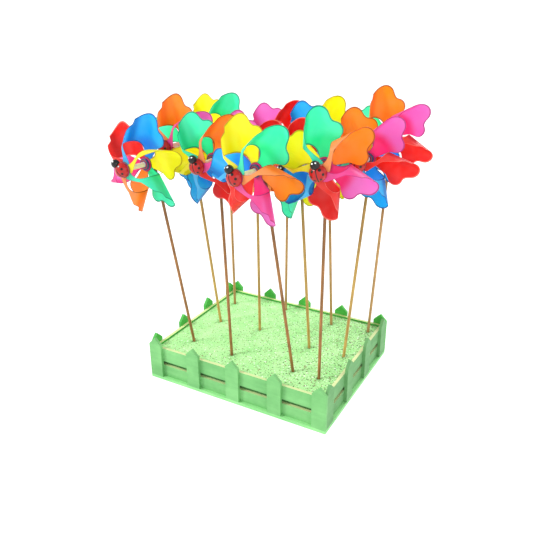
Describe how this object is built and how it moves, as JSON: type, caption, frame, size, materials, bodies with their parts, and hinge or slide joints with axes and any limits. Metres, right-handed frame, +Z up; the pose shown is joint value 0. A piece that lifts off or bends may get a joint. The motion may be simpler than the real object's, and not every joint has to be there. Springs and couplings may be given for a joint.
{
  "type": "whirligig",
  "caption": "Fenced tray with a foam block holding sticks, each topped by a free-spinning pinwheel of coloured film petals with a ladybug on its nose.",
  "frame": {"origin": "centre of the tray's underside", "axes": "+Z up; -Y towards the tray's front, which the pinwheels face; +X to the right of the front"},
  "size_m": [0.2988, 0.2316, 0.3197],
  "materials": {
    "tray_paint": "satin paint on thin fibreboard",
    "foam": "matt open foam with dark specks",
    "stick_wood": "bare round wooden stick",
    "bead_wood": "smooth turned wood",
    "pin_steel": "plain wire",
    "bug_red": "glossy painted wood",
    "bug_black": "glossy painted wood",
    "hub_cream": "satin",
    "petal_film": "satin translucent film, one colour per petal"
  },
  "bodies": {
    "stand": {"tray_floor": "tray_paint", "foam_block": "foam", "rails_front": "tray_paint", "rails_back": "tray_paint", "rails_left": "tray_paint", "rails_right": "tray_paint", "pickets_front": "tray_paint", "pickets_back": "tray_paint", "pickets_left": "tray_paint", "pickets_right": "tray_paint", "ball_beads": "bead_wood", "axle_pins": "pin_steel", "spacer_rings": "bead_wood", "ladybug_bodies": "bug_red", "ladybug_heads": "bug_black", "stick_01": "stick_wood", "stick_02": "stick_wood", "stick_03": "stick_wood", "stick_04": "stick_wood", "stick_05": "stick_wood", "stick_06": "stick_wood", "stick_07": "stick_wood", "stick_08": "stick_wood", "stick_09": "stick_wood", "stick_10": "stick_wood", "stick_11": "stick_wood", "stick_12": "stick_wood"},
    "rotor_01": {"hub_01": "hub_cream", "petals_01": "petal_film"},
    "rotor_02": {"hub_02": "hub_cream", "petals_02": "petal_film"},
    "rotor_03": {"hub_03": "hub_cream", "petals_03": "petal_film"},
    "rotor_04": {"hub_04": "hub_cream", "petals_04": "petal_film"},
    "rotor_05": {"hub_05": "hub_cream", "petals_05": "petal_film"},
    "rotor_06": {"hub_06": "hub_cream", "petals_06": "petal_film"},
    "rotor_07": {"hub_07": "hub_cream", "petals_07": "petal_film"},
    "rotor_08": {"hub_08": "hub_cream", "petals_08": "petal_film"},
    "rotor_09": {"hub_09": "hub_cream", "petals_09": "petal_film"},
    "rotor_10": {"hub_10": "hub_cream", "petals_10": "petal_film"},
    "rotor_11": {"hub_11": "hub_cream", "petals_11": "petal_film"},
    "rotor_12": {"hub_12": "hub_cream", "petals_12": "petal_film"}
  },
  "joints": [
    {"name": "spin_01", "type": "hinge", "parent": "stand", "child": "rotor_01", "pos_m": [-0.09818, -0.09763, 0.251], "axis": [-0.1392, -0.9903, 0], "continuous": true},
    {"name": "spin_02", "type": "hinge", "parent": "stand", "child": "rotor_02", "pos_m": [-0.09879, -0.03068, 0.26], "axis": [-0.1219, -0.9925, 0], "continuous": true},
    {"name": "spin_03", "type": "hinge", "parent": "stand", "child": "rotor_03", "pos_m": [-0.0358, -0.06682, 0.255], "axis": [0.0523, -0.9986, 0], "continuous": true},
    {"name": "spin_04", "type": "hinge", "parent": "stand", "child": "rotor_04", "pos_m": [-0.09318, 0.03537, 0.259], "axis": [-0.1392, -0.9903, 0], "continuous": true},
    {"name": "spin_05", "type": "hinge", "parent": "stand", "child": "rotor_05", "pos_m": [-0.032, 0.00114, 0.245], "axis": [0, -1, 0], "continuous": true},
    {"name": "spin_06", "type": "hinge", "parent": "stand", "child": "rotor_06", "pos_m": [-0.0312, 0.07318, 0.249], "axis": [-0.0523, -0.9986, 0], "continuous": true},
    {"name": "spin_07", "type": "hinge", "parent": "stand", "child": "rotor_07", "pos_m": [0.03282, -0.10363, 0.261], "axis": [-0.1392, -0.9903, 0], "continuous": true},
    {"name": "spin_08", "type": "hinge", "parent": "stand", "child": "rotor_08", "pos_m": [0.037, -0.02985, 0.246], "axis": [0, -1, 0], "continuous": true},
    {"name": "spin_09", "type": "hinge", "parent": "stand", "child": "rotor_09", "pos_m": [0.08914, -0.07127, 0.265], "axis": [0.225, -0.9744, 0], "continuous": true},
    {"name": "spin_10", "type": "hinge", "parent": "stand", "child": "rotor_10", "pos_m": [0.03641, 0.0372, 0.261], "axis": [-0.0698, -0.9976, 0], "continuous": true},
    {"name": "spin_11", "type": "hinge", "parent": "stand", "child": "rotor_11", "pos_m": [0.1, 0.00314, 0.257], "axis": [0, -1, 0], "continuous": true},
    {"name": "spin_12", "type": "hinge", "parent": "stand", "child": "rotor_12", "pos_m": [0.0972, 0.07016, 0.268], "axis": [-0.0349, -0.9994, 0], "continuous": true}
  ]
}
